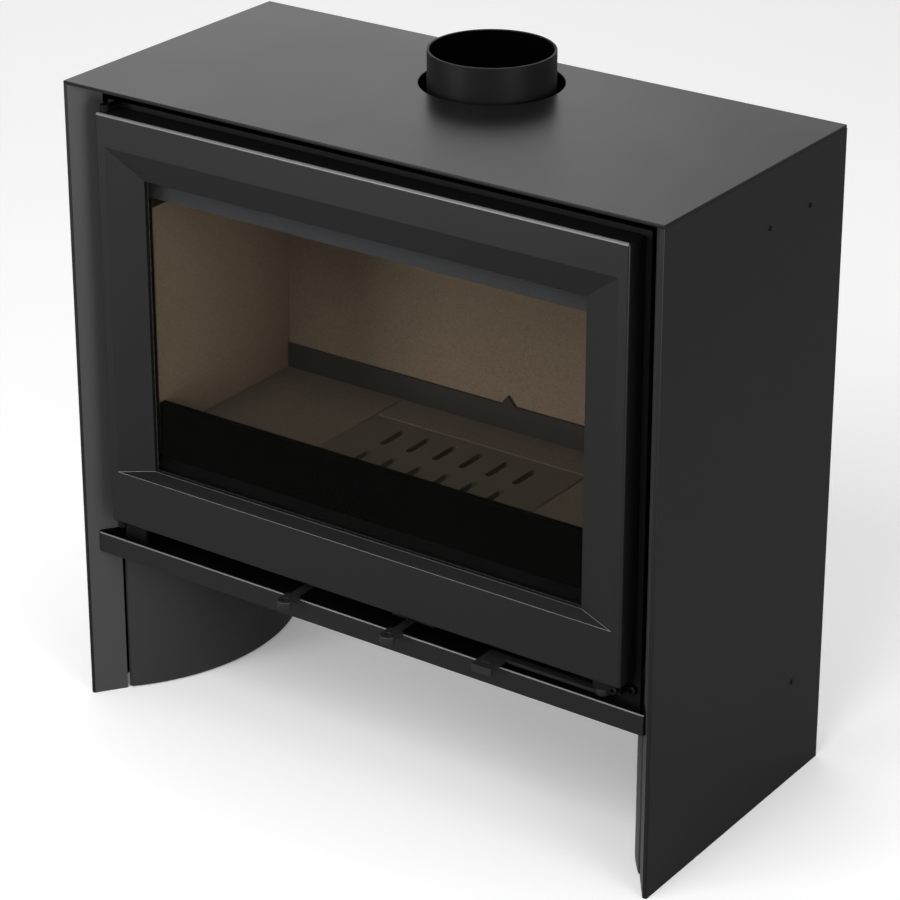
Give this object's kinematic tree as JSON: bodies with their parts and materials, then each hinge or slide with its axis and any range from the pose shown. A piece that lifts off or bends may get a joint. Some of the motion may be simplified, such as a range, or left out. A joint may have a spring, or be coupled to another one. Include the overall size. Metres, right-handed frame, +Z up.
{
  "type": "wood-burning stove",
  "caption": "Free-standing black steel log burner with a wide glazed door, a top flue spigot and an open log store between bowed legs.",
  "frame": {"origin": "on the floor, under the middle of the overall box", "axes": "+Z up, -Y towards the front (the door), +X to the right as seen from the front"},
  "size_m": [0.8144, 0.4, 0.84],
  "materials": {
    "black_stove_paint": "satin",
    "glass": "gloss",
    "vermiculite": "matt",
    "cast_iron": "matt",
    "bare_steel": "satin",
    "brass": "satin",
    "rope_fibre": "matt",
    "insulation": "matt"
  },
  "bodies": {
    "stove": {"air_risers": "black_stove_paint", "air_slide_guides": "black_stove_paint", "air_wash_channel": "black_stove_paint", "ash_box": "black_stove_paint", "ash_pan": "bare_steel", "ash_pan_runners": "black_stove_paint", "back_insulation_board": "insulation", "back_wall_brick": "vermiculite", "baffle_brick": "vermiculite", "base_tray": "black_stove_paint", "firebox_rear_feet": "black_stove_paint", "firebox_shell": "black_stove_paint", "flue_collar": "black_stove_paint", "flue_collar_screws": "bare_steel", "flue_gasket": "rope_fibre", "front_floor_brick": "vermiculite", "front_frame": "black_stove_paint", "front_log_guard": "black_stove_paint", "grate": "cast_iron", "hinge_brackets": "black_stove_paint", "hinge_pins": "bare_steel", "hinge_thrust_washer": "brass", "latch_keeper": "black_stove_paint", "latch_keeper_screw": "bare_steel", "left_floor_brick": "vermiculite", "left_leg_panel": "black_stove_paint", "left_side_panel": "black_stove_paint", "left_wall_brick": "vermiculite", "leg_stays": "black_stove_paint", "lower_air_duct": "black_stove_paint", "rear_cover": "black_stove_paint", "rear_cover_screws": "bare_steel", "rear_floor_brick": "vermiculite", "rear_log_guard": "black_stove_paint", "right_floor_brick": "vermiculite", "right_leg_panel": "black_stove_paint", "right_side_panel": "black_stove_paint", "right_wall_brick": "vermiculite", "side_panel_screws": "bare_steel", "side_spacer_brackets": "black_stove_paint", "smoke_deflector": "black_stove_paint", "smoke_deflector_ledges": "black_stove_paint", "top_plate": "black_stove_paint", "top_plate_angles": "black_stove_paint"},
    "door": {"door_frame": "black_stove_paint", "door_inner_frame": "black_stove_paint", "door_glass": "glass", "glass_tape": "rope_fibre", "glass_retainers": "black_stove_paint", "glass_retainer_screws": "bare_steel", "door_rope_seal": "rope_fibre", "hinge_bushes": "brass", "latch_block": "black_stove_paint", "latch_pivot_bolt": "bare_steel", "latch_adjusting_screw": "bare_steel"},
    "latch": {"latch_lever": "black_stove_paint"},
    "primary_air": {"primary_air_slide": "black_stove_paint"},
    "secondary_air": {"secondary_air_slide": "black_stove_paint"}
  },
  "joints": [
    {"name": "door_hinge", "type": "hinge", "parent": "stove", "child": "door", "pos_m": [-0.354, -0.172, 0.5], "axis": [0, 0, -1], "range_deg": [0, 110]},
    {"name": "latch_pivot", "type": "hinge", "parent": "door", "child": "latch", "pos_m": [0.327, -0.157, 0.225], "axis": [0, 0, 1], "range_deg": [0, 35]},
    {"name": "primary_air_travel", "type": "slide", "parent": "stove", "child": "primary_air", "axis": [0, -1, 0], "range_m": [0, 0.032]},
    {"name": "secondary_air_travel", "type": "slide", "parent": "stove", "child": "secondary_air", "axis": [0, -1, 0], "range_m": [0, 0.026]}
  ]
}
